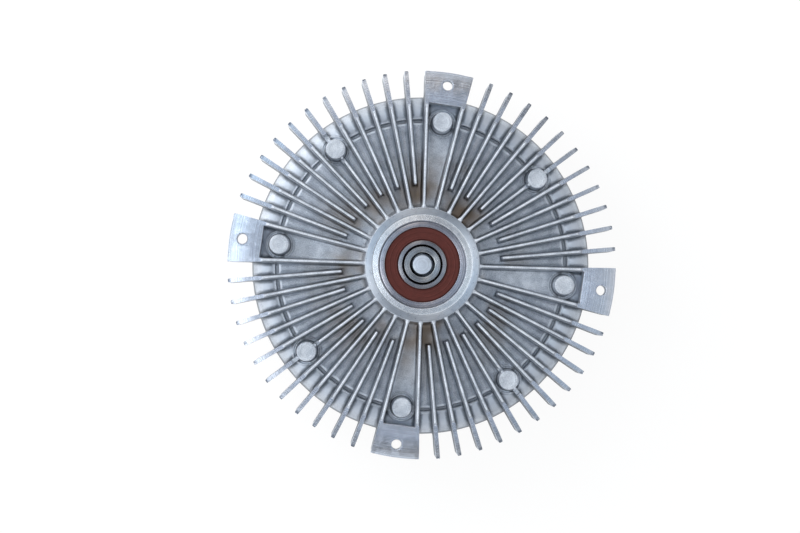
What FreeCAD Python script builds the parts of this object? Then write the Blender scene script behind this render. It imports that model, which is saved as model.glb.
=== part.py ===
import FreeCAD, Part

import math
import os

from FreeCAD import Vector

# A viscous fan clutch, lying on its front face with the engine side up.
# Z is the axis of rotation and z = 0 is the plane of the front fins' crests.
# A finned die-cast housing with four fan ears turns on a sealed ball bearing round a hollow shaft.
# Inside, the shaft drives a ridged rotor in silicone oil, and a bimetal strip works the oil valve.
# All sizes are in millimetres and degrees.

# Heights of the stack, from the front plane upwards
front_fin_h = 11.0
cover_web = 3.5
reservoir_h = 5.0
plate_t = 1.2
rotor_gap = 0.9
rotor_t = 4.0
ridge_h = 3.4
ridge_gap = 0.6
housing_web = 4.0
rear_fin_h = 16.0
spigot_h = 2.0

# Outer form of the housing
rim_wall = 14.6
fin_reach = 12.4
rim_drop = 6.2
groove_inset = 14.2
groove_w = 1.7
groove_depth = 3.0
fan_hole_inset = 7.0
fan_hole_r = 2.75
fan_hole_chamfer = 0.45
facing_w = 18.0
ear_inset = 0.5
ear_t = 8.5
ear_wall = 3.8
ear_side = 1.35
ear_drop = 2.8
tip_bevel_w = 4.6
tip_bevel_h = 0.9

# Fins of both castings, on a common division of the circle
ear_count = 4
fin_places = 56
fin_half_inner = 0.82
fin_half_outer = 1.05
fin_draft = 0.6
crest_chamfer = 0.3
fin_end_facets = 4
short_fin_start = 12.7
root_flare_w = 1.2
root_flare_h = 1.3
blade_rise = 2.5
front_fin_inset = 1.4

# Bosses of the housing and the screws that hold the cover
screw_wall = 7.0
boss_r = 5.45
boss_drop = 3.8
boss_draft = 2.0
boss_clear = 3.0
boss_rib_r = 0.8
boss_rib_drop = 0.8
fin_saddle_h = 5.5
cover_screw_r = 2.5
cover_screw_play = 0.25
thread_play = 0.05
cover_screw_reach = 15.0
cover_head_r = 4.6
cover_head_h = 3.2
cover_head_edge = 0.6
cover_socket_af = 4.0
cover_socket_depth = 1.9
spot_r = 6.6
spot_rise = 2.0

# Collar and ball bearing
collar_wall = 7.4
collar_draft = 4.0
collar_root = 2.2
collar_edge = 0.5
land_rise = 0.4
lip_w = 3.7
bearing_drop = 1.8
bearing_seat_rise = 0.5
bearing_r = 23.5
bearing_bore_r = 10.0
bearing_w = 14.0
bearing_corner = 1.0
ball_r = 3.97
ball_count = 8
race_gap = 0.03
ball_shoulder = 2.55
seal_seat_step = 1.1
seal_land_step = 1.2
seal_t = 1.5
seal_recess = 0.4
seal_play = 0.1
seal_ridge_h = 0.25
cage_half_w = 1.6
cage_floor = 0.8
cage_pocket_play = 0.13
housing_step_w = 3.5

# Shaft, rotor and the captive centre screw
shaft_proud = 0.4
shaft_chamfer = 0.5
shaft_shoulder_w = 1.6
shaft_shoulder_h = 3.6
rotor_seat_step = 0.4
nose_wall = 3.2
nose_recess = 2.0
head_seat_margin = 1.4
ring_t = 1.2
ring_margin = 1.0
snap_groove_depth = 1.0
snap_ring_w = 2.5
snap_ring_gap = 50.0
retainer_w = 1.9
retainer_groove_depth = 0.7
retainer_gap = 60.0
centre_screw_r = 6.0
centre_screw_l = 30.0
centre_screw_chamfer = 0.9
centre_screw_play = 0.75
centre_head_r = 9.0
centre_head_play = 0.3
centre_head_h = 12.0
centre_socket_af = 10.0
centre_socket_depth = 6.0
washer_t = 2.0
washer_play = 0.35
chamber_r = 71.0
rotor_play = 1.5
rotor_hub_wall = 4.1
rotor_web_t = 3.0
ridge_count = 4
ridge_pitch = 5.0
ridge_w = 2.1
rotor_hole_r = 3.0
rotor_hole_circle_r = 36.0
rotor_hole_count = 4

# Cover, reservoir, partition plate and O-ring
cover_rim_inset = 0.8
cover_rim_edge = 2.5
spigot_play = 0.1
boss_face_z = 4.0
cover_boss_wall = 5.0
seal_inset = 1.0
shaft_seal_w = 7.0
shaft_seal_section = 6.5
shaft_seal_play = 0.05
shaft_seal_wall = 1.2
seal_shoulder = 3.0
garter_r = 0.6
well_step = 1.5
well_wall = 2.5
reservoir_inset = 10.0
plate_ledge = 3.0
plate_play = 0.1
return_hole_r = 1.5
return_hole_inset = 3.0
oring_r = 0.8
oring_offset = 1.6
oring_side_play = 0.4

# Bimetal strip, control pin and valve
strip_inset = 16.0
strip_l = 62.0
strip_w = 14.0
strip_t = 1.0
strip_rise = 4.0
strip_play = 0.1
strip_space = 5.0
lug_l = 6.5
lug_grip = 3.0
lug_side = 2.5
lug_cap = 2.4
pin_r = 1.5
pin_play = 0.05
pin_boss_r = 5.0
pin_boss_h = 2.0
pin_groove_h = 1.7
pin_oring_r = 0.7
lever_t = 0.5
lever_w = 9.0
lever_l = 30.0
lever_rivet_offset = 15.0
lever_play = 0.05
port_r = 2.6
port_offset = 5.0
rivet_r = 1.6
rivet_head_r = 3.0
rivet_head_h = 1.0

# Radii worked out from the sizes above, outwards from the axis
shaft_bore_r = centre_screw_r + centre_screw_play
counterbore_r = centre_head_r + centre_head_play
nose_r = counterbore_r + nose_wall
rotor_seat_r = nose_r + rotor_seat_step
shaft_shoulder_r = rotor_seat_r + shaft_shoulder_w
rotor_hub_r = rotor_seat_r + rotor_hub_wall
shaft_seal_r = nose_r + shaft_seal_section
well_r = shaft_seal_r + well_step
ball_circle_r = (bearing_r + bearing_bore_r) / 2
outer_shoulder_r = ball_circle_r + ball_shoulder
inner_shoulder_r = ball_circle_r - ball_shoulder
seal_seat_r = outer_shoulder_r + seal_seat_step
seal_land_r = inner_shoulder_r - seal_land_step
housing_step_r = bearing_r - housing_step_w
lip_r = bearing_r + lip_w
collar_r = bearing_r + collar_wall
short_fin_r = collar_r + short_fin_start
rotor_r = chamber_r - rotor_play
reservoir_r = chamber_r - reservoir_inset
return_hole_circle_r = reservoir_r - return_hole_inset
strip_offset = reservoir_r - strip_inset
plate_r = reservoir_r + plate_ledge
screw_circle_r = chamber_r + screw_wall
rim_r = screw_circle_r + rim_wall
groove_r = rim_r - groove_inset
cover_r = rim_r - cover_rim_inset
front_fin_r = cover_r - front_fin_inset
tip_r = rim_r + fin_reach
fan_circle_r = tip_r - fan_hole_inset
facing_r = tip_r - facing_w
ear_inner_r = facing_r + ear_inset

# Heights worked out from the sizes above, upwards from the front plane
cover_floor_z = front_fin_h
reservoir_z = cover_floor_z + cover_web
plate_z = reservoir_z + reservoir_h
plate_top_z = plate_z + plate_t
joint_z = plate_top_z - spigot_h
rotor_z = plate_top_z + rotor_gap
ridge_z = rotor_z + rotor_t
ceiling_z = ridge_z + ridge_h + ridge_gap
floor_z = ceiling_z + housing_web
crest_z = floor_z + rear_fin_h
land_z = crest_z + land_rise
ear_face_z = crest_z - ear_drop
boss_top_z = crest_z - boss_drop
bearing_top_z = land_z - bearing_drop
bearing_z = bearing_top_z - bearing_w
bearing_mid_z = bearing_top_z - bearing_w / 2
shaft_top_z = bearing_top_z + shaft_proud
shoulder_z = bearing_z - shaft_shoulder_h
head_seat_z = bearing_z - head_seat_margin
retainer_z = nose_recess + ring_margin
head_z = retainer_z + ring_t
washer_z = head_z + centre_head_h
tip_z = washer_z + centre_screw_l
spot_z = cover_floor_z - spot_rise
seal_z = boss_face_z + seal_inset
shaft_seal_top_z = seal_z + shaft_seal_w
pin_boss_z = cover_floor_z - pin_boss_h
strip_inner_z = cover_floor_z - strip_rise
lever_z = plate_z - lever_play - lever_t
fin_step = 360.0 / fin_places
places_per_ear = fin_places // ear_count
margin = 1.0


def turned(*outline):
    """A solid turned about Z from (radius, height) points. An arc passes through (radius, height, "arc")."""
    points = list(outline) + [outline[0]]
    edges = []
    here = points[0]
    through = None
    for point in points[1:]:
        if len(point) == 3:
            through = point
            continue
        start, end = Vector(here[0], 0, here[1]), Vector(point[0], 0, point[1])
        if through:
            edges.append(Part.Arc(start, Vector(through[0], 0, through[1]), end).toShape())
        else:
            edges.append(Part.LineSegment(start, end).toShape())
        here = point
        through = None
    face = Part.Face(Part.Wire(edges))
    return face.revolve(Vector(0, 0, 0), Vector(0, 0, 1), 360)


def rod(radius, low, high, x=0.0, y=0.0, top_radius=None):
    """An upright cylinder from one height to another, or a cone if its top has another radius."""
    foot = Vector(x, y, low)
    if top_radius is None:
        return Part.makeCylinder(radius, high - low, foot)
    return Part.makeCone(radius, top_radius, high - low, foot)


def block(x0, x1, y0, y1, z0, z1):
    """A box between two corners."""
    return Part.makeBox(x1 - x0, y1 - y0, z1 - z0, Vector(x0, y0, z0))


def turn(shape, degrees):
    """A copy of the shape turned about Z."""
    copy = shape.copy()
    copy.rotate(Vector(0, 0, 0), Vector(0, 0, 1), degrees)
    return copy


def ring_of(shape, count, first=0.0):
    """Copies of the shape, evenly spaced about Z."""
    return [turn(shape, first + i * 360.0 / count) for i in range(count)]


def hex_socket(across_flats, low, high):
    """An upright hexagonal prism about Z."""
    corner_r = across_flats / 2 / math.cos(math.radians(30))
    angles = [math.radians(60 * i) for i in range(7)]
    corners = [Vector(corner_r * math.cos(a), corner_r * math.sin(a), low) for a in angles]
    return Part.Face(Part.makePolygon(corners)).extrude(Vector(0, 0, high - low))


def split_ring(inner, outer, low, high, gap):
    """A flat spring ring with a gap, in degrees, centred on +X."""
    sweep = Part.makeCylinder(outer, high - low, Vector(0, 0, low), Vector(0, 0, 1), 360 - gap)
    return turn(sweep.cut(rod(inner, low - margin, high + margin)), gap / 2)


# A fin lies along +X. Its sides spread outwards along its length, and by the draft away from its crest.
def fin_half(radius, depth):
    """Half of the fin's thickness at a radius, at a depth below its crest."""
    share = (radius - collar_r) / (tip_r - collar_r)
    crest_half = fin_half_inner + (fin_half_outer - fin_half_inner) * share
    return crest_half + depth * math.tan(math.radians(fin_draft))


def fin_plan(r_in, r_out, depth, rounded, spread=0.0):
    """Corners of the fin's outline at one depth, with a faceted half-round inner end if it is rounded."""
    near = fin_half(r_in, depth) + spread
    far = fin_half(r_out, depth) + spread
    start = r_in + fin_half_inner if rounded else r_in
    angles = [math.radians(90 + 180 * i / fin_end_facets) for i in range(fin_end_facets + 1)]
    end = [(start + near * math.cos(a), near * math.sin(a)) for a in angles]
    if not rounded:
        end = [(start, near), (start, -near)]
    return end + [(r_out, -far), (r_out, far)]


def tapered(*sections):
    """A flat-faced solid through outlines with as many corners each. A section is (corners, height)."""
    rings = [[Vector(x, y, z) for x, y in corners] for corners, z in sections]
    outlines = [rings[0], rings[-1]]
    count = len(rings[0])
    for below, above in zip(rings, rings[1:]):
        for i in range(count):
            j = (i + 1) % count
            outlines.append([below[i], below[j], above[j], above[i]])
    faces = [Part.Face(Part.makePolygon(outline + outline[:1])) for outline in outlines]
    solid = Part.Solid(Part.makeShell(faces))
    if solid.Volume < 0:
        solid.reverse()
    return solid


def fin(r_in, r_out, root_z, top_z, rounded):
    """A drafted fin from its root to its crest, above or below, with a chamfer along the crest."""
    height = abs(top_z - root_z)
    shoulder_z = top_z + (root_z - top_z) * crest_chamfer / height
    return tapered(
        (fin_plan(r_in, r_out, height, rounded), root_z),
        (fin_plan(r_in, r_out, crest_chamfer, rounded), shoulder_z),
        (fin_plan(r_in, r_out, 0, rounded, -crest_chamfer), top_z),
    )


def fin_foot(r_in, r_out, z, depth, rounded):
    """The slope that spreads a fin onto the floor at a height z, which lies at a depth below its crest."""
    sink = root_flare_h / 2
    slope = root_flare_w / root_flare_h
    return tapered(
        (fin_plan(r_in, r_out, depth, rounded, root_flare_w + slope * sink), z - sink),
        (fin_plan(r_in, r_out, depth, rounded, -slope * sink), z + root_flare_h + sink),
    )


def is_ear_place(place):
    return place % places_per_ear == 0


def is_long(place):
    return place % places_per_ear % 2 == 1


def meets_boss(place):
    return place % places_per_ear == places_per_ear // 2


def at_bosses(shape):
    """Copies of a shape on +X at the eight screw places, half of them under the ears."""
    return ring_of(shape, 2 * ear_count)


def rear_fins():
    """Every rear fin with its foot. Long ones reach the collar, and none stands on an ear's middle line."""
    root_z = joint_z + blade_rise
    out = tip_r + margin
    foot_out = groove_r - groove_depth
    collar_in = lip_r + margin
    long_fin = fin(collar_in, out, root_z, crest_z, False)
    short_fin = fin(short_fin_r, out, root_z, crest_z, True)
    long_foot = fin_foot(collar_in, foot_out, floor_z, rear_fin_h, False)
    short_foot = fin_foot(short_fin_r, foot_out, floor_z, rear_fin_h, True)
    saddle_fin = long_fin.cut(saddle())
    made = []
    for place in range(fin_places):
        if is_ear_place(place):
            continue
        angle = place * fin_step
        if meets_boss(place):
            made += [turn(part, angle) for part in (saddle_fin, long_foot)]
        elif is_long(place):
            made += [turn(part, angle) for part in (long_fin, long_foot)]
        else:
            made += [turn(part, angle) for part in (short_fin, short_foot)]
    return made


def saddle():
    """What is left out of a fin that meets a boss half way between two ears: it drops low round the boss."""
    return rod(boss_r + boss_clear, floor_z + fin_saddle_h, land_z + margin, screw_circle_r)


def bosses():
    """Drafted posts over the screw holes. Those in line with a fin have a small rib on each side."""
    foot_r = boss_r + (boss_top_z - joint_z) * math.tan(math.radians(boss_draft))
    edge = crest_chamfer
    post = turned(
        (0, joint_z), (foot_r, joint_z),
        (boss_r, boss_top_z - edge), (boss_r - edge, boss_top_z), (0, boss_top_z),
    )
    post.translate(Vector(screw_circle_r, 0, 0))
    rib_top = boss_top_z - boss_rib_drop
    inner_rib = rod(2 * boss_rib_r, floor_z - groove_depth, rib_top, screw_circle_r - boss_r, 0, boss_rib_r)
    outer_rib = rod(2 * boss_rib_r, floor_z - groove_depth, rib_top, screw_circle_r + boss_r, 0, boss_rib_r)
    between_ears = 180.0 / ear_count
    ribs = ring_of(inner_rib, ear_count, between_ears) + ring_of(outer_rib, ear_count, between_ears)
    return at_bosses(post) + ribs


def ear_slab(r_in, r_out, low, high):
    """A slab that reaches a little past the middle lines of the fins beside it, with straight ends."""
    slope = math.tan(math.radians(fin_step))
    near, far = r_in * slope + ear_side, r_out * slope + ear_side
    corners = [(r_in, -near), (r_out, -far), (r_out, far), (r_in, near), (r_in, -near)]
    line = Part.makePolygon([Vector(x, y, low) for x, y in corners])
    return Part.Face(line).extrude(Vector(0, 0, high - low))


def ears():
    """The fan's seats: each is a plate between two long fins, with a wall down to the rim at its root."""
    plate = ear_slab(ear_inner_r, tip_r + margin, ear_face_z - ear_t, crest_z)
    wall = ear_slab(ear_inner_r, ear_inner_r + ear_wall, joint_z + blade_rise, crest_z)
    return ring_of(plate.fuse(wall), ear_count)


def facing_cut():
    """What the lathe takes off the fin tips and the ears: a flat face, its bevel and the outer diameter."""
    ramp = ear_drop / 2
    out = tip_r + 3 * margin
    return turned(
        (facing_r - ramp, crest_z + margin), (facing_r - ramp, crest_z), (facing_r, ear_face_z),
        (tip_r - tip_bevel_w, ear_face_z), (tip_r, ear_face_z - tip_bevel_h), (tip_r, joint_z - margin),
        (out, joint_z - margin), (out, crest_z + margin),
    )


def ridge_radii():
    """Middle radii of the rotor's ridges, from the outside in."""
    return [rotor_r - ridge_w / 2 - i * ridge_pitch for i in range(ridge_count)]


def housing_cavity():
    """The oil chamber with its fixed ridges, the step under the bearing, its seat and the collar's mouth."""
    outline = [(0, joint_z - margin), (chamber_r, joint_z - margin), (chamber_r, ceiling_z)]
    half = ridge_w / 2
    foot_z = ridge_z + ridge_gap
    for radius in ridge_radii()[:-1]:
        fixed = radius - ridge_pitch / 2
        outline += [(fixed + half, ceiling_z), (fixed + half, foot_z)]
        outline += [(fixed - half, foot_z), (fixed - half, ceiling_z)]
    outline += [
        (housing_step_r, ceiling_z), (housing_step_r, bearing_z), (bearing_r, bearing_z),
        (bearing_r, bearing_top_z + bearing_seat_rise),
        (lip_r, land_z), (lip_r, land_z + margin), (0, land_z + margin),
    ]
    return turned(*outline)


def rear_housing():
    """The die-cast housing, engine side up, with collar, fins, ears and bosses in one piece."""
    band_z = floor_z - groove_depth + groove_depth / 4
    band_r = groove_r + groove_w
    collar_foot_r = collar_r + (land_z - floor_z) * math.tan(math.radians(collar_draft))
    edge = groove_depth / 3
    root_mid = collar_root * (1 - math.sqrt(0.5))
    disc = turned(
        (0, joint_z), (rim_r, joint_z), (rim_r, band_z - rim_drop),
        (rim_r - rim_drop * 0.42, band_z - rim_drop * 0.26, "arc"), (band_r, band_z),
        (groove_r + groove_w / 2, floor_z - groove_depth), (groove_r, floor_z - groove_depth),
        (groove_r, floor_z - edge), (groove_r - edge, floor_z),
        (collar_foot_r + collar_root, floor_z),
        (collar_foot_r + root_mid, floor_z + root_mid, "arc"), (collar_foot_r, floor_z + collar_root),
        (collar_r, land_z - collar_edge), (collar_r - collar_edge, land_z), (0, land_z),
    )
    casting = disc.multiFuse(rear_fins() + ears() + bosses())
    hole = rod(fan_hole_r, joint_z, crest_z, fan_circle_r)
    mouth_r = fan_hole_r + fan_hole_chamfer
    chamfer = rod(fan_hole_r, ear_face_z - fan_hole_chamfer, ear_face_z, fan_circle_r, 0, mouth_r)
    tapped_top = joint_z + cover_screw_reach + margin
    tapped = rod(cover_screw_r + thread_play, joint_z - margin, tapped_top, screw_circle_r)
    cuts = [facing_cut(), housing_cavity()]
    cuts += ring_of(hole, ear_count) + ring_of(chamfer, ear_count) + at_bosses(tapped)
    return casting.cut(cuts).Solids[0]


def front_fins():
    """The cover's fins, on the same division as the rear ones, with their crests on the front plane."""
    root_z = cover_floor_z + margin
    inner = shaft_seal_r + cover_boss_wall - margin
    long_fin = fin(inner, front_fin_r, root_z, 0, False)
    short_fin = fin(short_fin_r, front_fin_r, root_z, 0, True)
    return [turn(long_fin if is_long(place) else short_fin, place * fin_step) for place in range(fin_places)]


def strip_lugs():
    """Two cast lugs with a slot each, which hold the ends of the bimetal strip."""
    made = []
    for side in (-1, 1):
        end = side * (strip_l / 2 + strip_play)
        x0, x1 = sorted((end - side * lug_grip, end + side * (lug_l - lug_grip)))
        half = strip_w / 2 + strip_play
        lug = block(x0, x1, -strip_offset - half - lug_side, -strip_offset + half + lug_side,
                    strip_inner_z - strip_t - strip_play - lug_cap, cover_floor_z + margin)
        s0, s1 = sorted((end - side * (lug_grip + margin), end))
        slot = block(s0, s1, -strip_offset - half, -strip_offset + half,
                     strip_inner_z - strip_t - strip_play, strip_inner_z + strip_play)
        made.append(lug.cut(slot))
    return made


def front_cover():
    """The die-cast cover: fins outside, the oil reservoir inside and the seal's boss in the middle."""
    inner_r = shaft_seal_r - seal_shoulder
    boss_out_r = shaft_seal_r + cover_boss_wall
    oring_mid = oring_groove_mid()
    half = oring_r + oring_side_play
    groove_z = joint_z - 2 * oring_r
    disc = turned(
        (shaft_seal_r, boss_face_z), (shaft_seal_r, shaft_seal_top_z), (inner_r, shaft_seal_top_z),
        (inner_r, reservoir_z + margin), (well_r, reservoir_z + margin), (well_r, plate_z),
        (well_r + well_wall, plate_z), (well_r + well_wall, reservoir_z), (reservoir_r, reservoir_z),
        (reservoir_r, plate_z), (plate_r, plate_z), (plate_r, plate_top_z),
        (chamber_r - spigot_play, plate_top_z), (chamber_r - spigot_play, joint_z),
        (oring_mid - half, joint_z), (oring_mid - half, groove_z), (oring_mid + half, groove_z),
        (oring_mid + half, joint_z), (cover_r, joint_z), (cover_r, cover_floor_z + cover_rim_edge),
        (cover_r - cover_rim_edge, cover_floor_z),
        (boss_out_r, cover_floor_z), (boss_out_r - collar_edge, boss_face_z),
    )
    bay = block(-strip_l / 2 - lug_l, strip_l / 2 + lug_l, -strip_offset - strip_w / 2 - strip_space,
                -strip_offset + strip_w / 2 + strip_space, -margin, cover_floor_z)
    fins = Part.Compound(front_fins()).cut([bay] + at_bosses(rod(spot_r, -margin, spot_z, screw_circle_r)))
    seats = at_bosses(rod(spot_r, spot_z, cover_floor_z + margin, screw_circle_r))
    pin_boss = rod(pin_boss_r, pin_boss_z, reservoir_z + pin_boss_h, 0, -strip_offset)
    casting = disc.multiFuse(fins.Solids + seats + strip_lugs() + [pin_boss])
    hole = rod(cover_screw_r + cover_screw_play, spot_z - margin, joint_z + margin, screw_circle_r)
    pin_hole = rod(pin_r + pin_play, pin_boss_z - margin, plate_z, 0, -strip_offset)
    groove_r_pin = pin_r + pin_play + 2 * pin_oring_r
    seal_low = pin_groove_z()
    pin_groove = rod(groove_r_pin, seal_low, seal_low + pin_groove_h, 0, -strip_offset)
    return casting.cut(at_bosses(hole) + [pin_hole, pin_groove]).Solids[0]


def oring_groove_mid():
    """Middle radius of the cover's O-ring and its groove, just outside the oil chamber."""
    return chamber_r + oring_offset + oring_r


def pin_groove_z():
    """Lower side of the groove for the pin's O-ring, in the middle of the pin's boss."""
    return (pin_boss_z + reservoir_z + pin_boss_h - pin_groove_h) / 2


def oring(radius, section_r, z, x=0.0, y=0.0):
    """A rubber ring of round section."""
    return Part.makeTorus(radius, section_r, Vector(x, y, z))


def cover_oring():
    return oring(oring_groove_mid(), oring_r, joint_z - oring_r)


def pin_oring():
    mid_z = pin_groove_z() + pin_groove_h / 2
    return oring(pin_r + pin_play + pin_oring_r, pin_oring_r, mid_z, 0, -strip_offset)


def cover_screws():
    """Eight socket screws that come from the front and end in the housing's bosses."""
    head_top_z = spot_z - cover_head_h
    edge = cover_head_edge
    end_z = joint_z + cover_screw_reach
    body = turned(
        (0, head_top_z), (cover_head_r - edge, head_top_z), (cover_head_r, head_top_z + edge),
        (cover_head_r, spot_z), (cover_screw_r, spot_z), (cover_screw_r, end_z - edge),
        (cover_screw_r - edge, end_z), (0, end_z),
    )
    screw = body.cut(hex_socket(cover_socket_af, head_top_z - margin, head_top_z + cover_socket_depth))
    screw.translate(Vector(screw_circle_r, 0, 0))
    return Part.Compound(at_bosses(screw))


def bearing_outer_ring():
    half = bearing_w / 2
    race_half = math.sqrt((ball_r + race_gap) ** 2 - (outer_shoulder_r - ball_circle_r) ** 2)
    seat = half - seal_recess - seal_t
    corner = bearing_corner
    mid = bearing_mid_z
    return turned(
        (bearing_r, mid - half + corner), (bearing_r - corner, mid - half), (seal_seat_r, mid - half),
        (seal_seat_r, mid - seat), (outer_shoulder_r, mid - seat), (outer_shoulder_r, mid - race_half),
        (ball_circle_r + ball_r + race_gap, mid, "arc"), (outer_shoulder_r, mid + race_half),
        (outer_shoulder_r, mid + seat), (seal_seat_r, mid + seat), (seal_seat_r, mid + half),
        (bearing_r - corner, mid + half), (bearing_r, mid + half - corner),
    )


def bearing_inner_ring():
    half = bearing_w / 2
    race_half = math.sqrt((ball_r + race_gap) ** 2 - (ball_circle_r - inner_shoulder_r) ** 2)
    seat = half - seal_recess - seal_t - seal_play
    corner = bearing_corner
    mid = bearing_mid_z
    return turned(
        (bearing_bore_r, mid - half + corner), (bearing_bore_r + corner, mid - half),
        (seal_land_r, mid - half),
        (seal_land_r, mid - seat), (inner_shoulder_r, mid - seat), (inner_shoulder_r, mid - race_half),
        (ball_circle_r - ball_r - race_gap, mid, "arc"), (inner_shoulder_r, mid + race_half),
        (inner_shoulder_r, mid + seat), (seal_land_r, mid + seat), (seal_land_r, mid + half),
        (bearing_bore_r + corner, mid + half), (bearing_bore_r, mid + half - corner),
    )


def bearing_seal(side):
    """A rubber shield with a raised rim and lip. Side 1 is the engine side and -1 the front."""
    half = bearing_w / 2
    face = half - seal_recess
    back = face - seal_t
    mid = bearing_mid_z
    low_face = face - seal_ridge_h
    lip_in = seal_land_r + seal_play
    step = (seal_seat_r - lip_in) / 9
    outline = [
        (seal_seat_r, back), (seal_seat_r, face),
        (seal_seat_r - step, face), (seal_seat_r - 1.3 * step, low_face),
        (lip_in + 1.6 * step, low_face), (lip_in + 1.2 * step, face), (lip_in + 0.4 * step, face),
        (lip_in, low_face), (lip_in, back),
    ]
    return turned(*[(radius, mid + side * height) for radius, height in outline])


def ball_set():
    ball = Part.makeSphere(ball_r, Vector(ball_circle_r, 0, bearing_mid_z))
    return Part.Compound(ring_of(ball, ball_count))


def bearing_cage():
    """A moulded crown that the balls snap into from the engine side."""
    mid = bearing_mid_z
    pocket_r = ball_r + cage_pocket_play
    inner = ball_circle_r - cage_half_w
    outer = ball_circle_r + cage_half_w
    low = mid - pocket_r - cage_floor
    high = mid + cage_half_w
    crown = turned((inner, low), (outer, low), (outer, high), (inner, high))
    pocket = Part.makeCylinder(pocket_r, outer, Vector(0, 0, mid), Vector(1, 0, 0))
    return crown.cut(ring_of(pocket, ball_count)).Solids[0]


def drive_shaft():
    """The hollow shaft: bearing seat, shoulder, rotor seat and a nose through the cover's seal."""
    snap_r = nose_r - snap_groove_depth
    retain_r = counterbore_r + retainer_groove_depth
    edge = shaft_chamfer
    return turned(
        (shaft_bore_r + edge, shaft_top_z), (bearing_bore_r - edge, shaft_top_z),
        (bearing_bore_r, shaft_top_z - edge),
        (bearing_bore_r, bearing_z), (shaft_shoulder_r, bearing_z), (shaft_shoulder_r, shoulder_z),
        (rotor_seat_r, shoulder_z), (rotor_seat_r, rotor_z), (snap_r, rotor_z), (snap_r, rotor_z - ring_t),
        (nose_r, rotor_z - ring_t), (nose_r, nose_recess + edge), (nose_r - edge, nose_recess),
        (counterbore_r, nose_recess), (counterbore_r, retainer_z), (retain_r, retainer_z), (retain_r, head_z),
        (counterbore_r, head_z), (counterbore_r, head_seat_z), (shaft_bore_r, head_seat_z),
        (shaft_bore_r, shaft_top_z - edge),
    )


def rotor():
    """The driven disc, with ridges on its engine side that run between those of the housing."""
    half = ridge_w / 2
    top_z = ridge_z + ridge_h
    outline = [(rotor_seat_r, rotor_z), (rotor_r, rotor_z)]
    radii = ridge_radii()
    for i, radius in enumerate(radii):
        if i:
            outline.append((radius + half, ridge_z))
        outline += [(radius + half, top_z), (radius - half, top_z), (radius - half, ridge_z)]
    web_r = radii[-1] - half - ridge_pitch / 2
    outline += [
        (web_r, ridge_z), (web_r - rotor_t, rotor_z + rotor_web_t),
        (rotor_hub_r + rotor_t, rotor_z + rotor_web_t),
        (rotor_hub_r, rotor_z + rotor_web_t + rotor_t), (rotor_hub_r, shoulder_z), (rotor_seat_r, shoulder_z),
    ]
    hole = rod(rotor_hole_r, rotor_z - margin, top_z, rotor_hole_circle_r)
    return turned(*outline).cut(ring_of(hole, rotor_hole_count))


def rotor_snap_ring():
    inner = nose_r - snap_groove_depth
    return split_ring(inner, inner + snap_ring_w, rotor_z - ring_t, rotor_z, snap_ring_gap)


def screw_retaining_ring():
    """The inner ring in the shaft's nose that keeps the centre screw from falling out."""
    outer = counterbore_r + retainer_groove_depth
    return split_ring(outer - retainer_w, outer, retainer_z, head_z, retainer_gap)


def centre_screw():
    """The captive screw. Its socket head faces the front, and its threaded end stands in the shaft's bore."""
    head_r = centre_head_r
    edge = centre_screw_chamfer
    body = turned(
        (0, head_z), (head_r - edge, head_z), (head_r, head_z + edge), (head_r, washer_z),
        (centre_screw_r, washer_z), (centre_screw_r, tip_z - edge),
        (centre_screw_r - edge, tip_z), (0, tip_z),
    )
    return body.cut(hex_socket(centre_socket_af, head_z - margin, head_z + centre_socket_depth))


def screw_washer():
    outer = counterbore_r - washer_play
    inner = centre_screw_r + washer_play
    top = washer_z + washer_t
    return turned((inner, washer_z), (outer, washer_z), (outer, top), (inner, top))


def partition_plate():
    """The steel plate between reservoir and oil chamber, with the valve port and a return hole."""
    outer = plate_r - plate_play
    plate = turned((well_r, plate_z), (outer, plate_z), (outer, plate_top_z), (well_r, plate_top_z))
    port = rod(port_r, plate_z - margin, plate_top_z + margin, port_offset, -strip_offset)
    back = rod(return_hole_r, plate_z - margin, plate_top_z + margin, 0, return_hole_circle_r)
    rivet_hole = rod(rivet_r, plate_z - margin, plate_top_z + margin, -lever_rivet_offset, -strip_offset)
    return plate.cut([port, back, rivet_hole])


def valve_lever():
    """The leaf spring that covers the port. The control pin holds it shut while the clutch is cold."""
    half = lever_w / 2
    x0 = -lever_rivet_offset - half
    leaf = block(x0, x0 + lever_l, -strip_offset - half, -strip_offset + half, lever_z, lever_z + lever_t)
    ends = [edge for edge in leaf.Edges if abs(edge.Length - lever_t) < 1e-6]
    leaf = leaf.makeFillet(half * 0.8, ends)
    hole_top = lever_z + lever_t + margin
    rivet_hole = rod(rivet_r, lever_z - margin, hole_top, -lever_rivet_offset, -strip_offset)
    return leaf.cut(rivet_hole)


def valve_rivet():
    """The rivet that fixes the leaf to the partition plate."""
    x, y = -lever_rivet_offset, -strip_offset
    head = rod(rivet_head_r * 0.7, lever_z - rivet_head_h, lever_z, x, y, rivet_head_r)
    tail = rod(rivet_head_r, plate_top_z, plate_top_z + rivet_head_h * 0.6, x, y, rivet_head_r * 0.8)
    return head.fuse([rod(rivet_r, lever_z, plate_top_z, x, y), tail])


def control_pin():
    """The pin between the bimetal strip and the valve leaf, with chamfered ends."""
    low = strip_inner_z + lever_play
    high = lever_z - lever_play
    edge = pin_r / 3
    pin = turned(
        (0, low), (pin_r - edge, low), (pin_r, low + edge),
        (pin_r, high - edge), (pin_r - edge, high), (0, high),
    )
    pin.translate(Vector(0, -strip_offset, 0))
    return pin


def bimetal_strip():
    half = strip_w / 2
    strip = block(-strip_l / 2, strip_l / 2, -strip_offset - half, -strip_offset + half,
                  strip_inner_z - strip_t, strip_inner_z)
    corners = [edge for edge in strip.Edges if abs(edge.Length - strip_t) < 1e-6]
    return strip.makeFillet(strip_t, corners)


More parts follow.
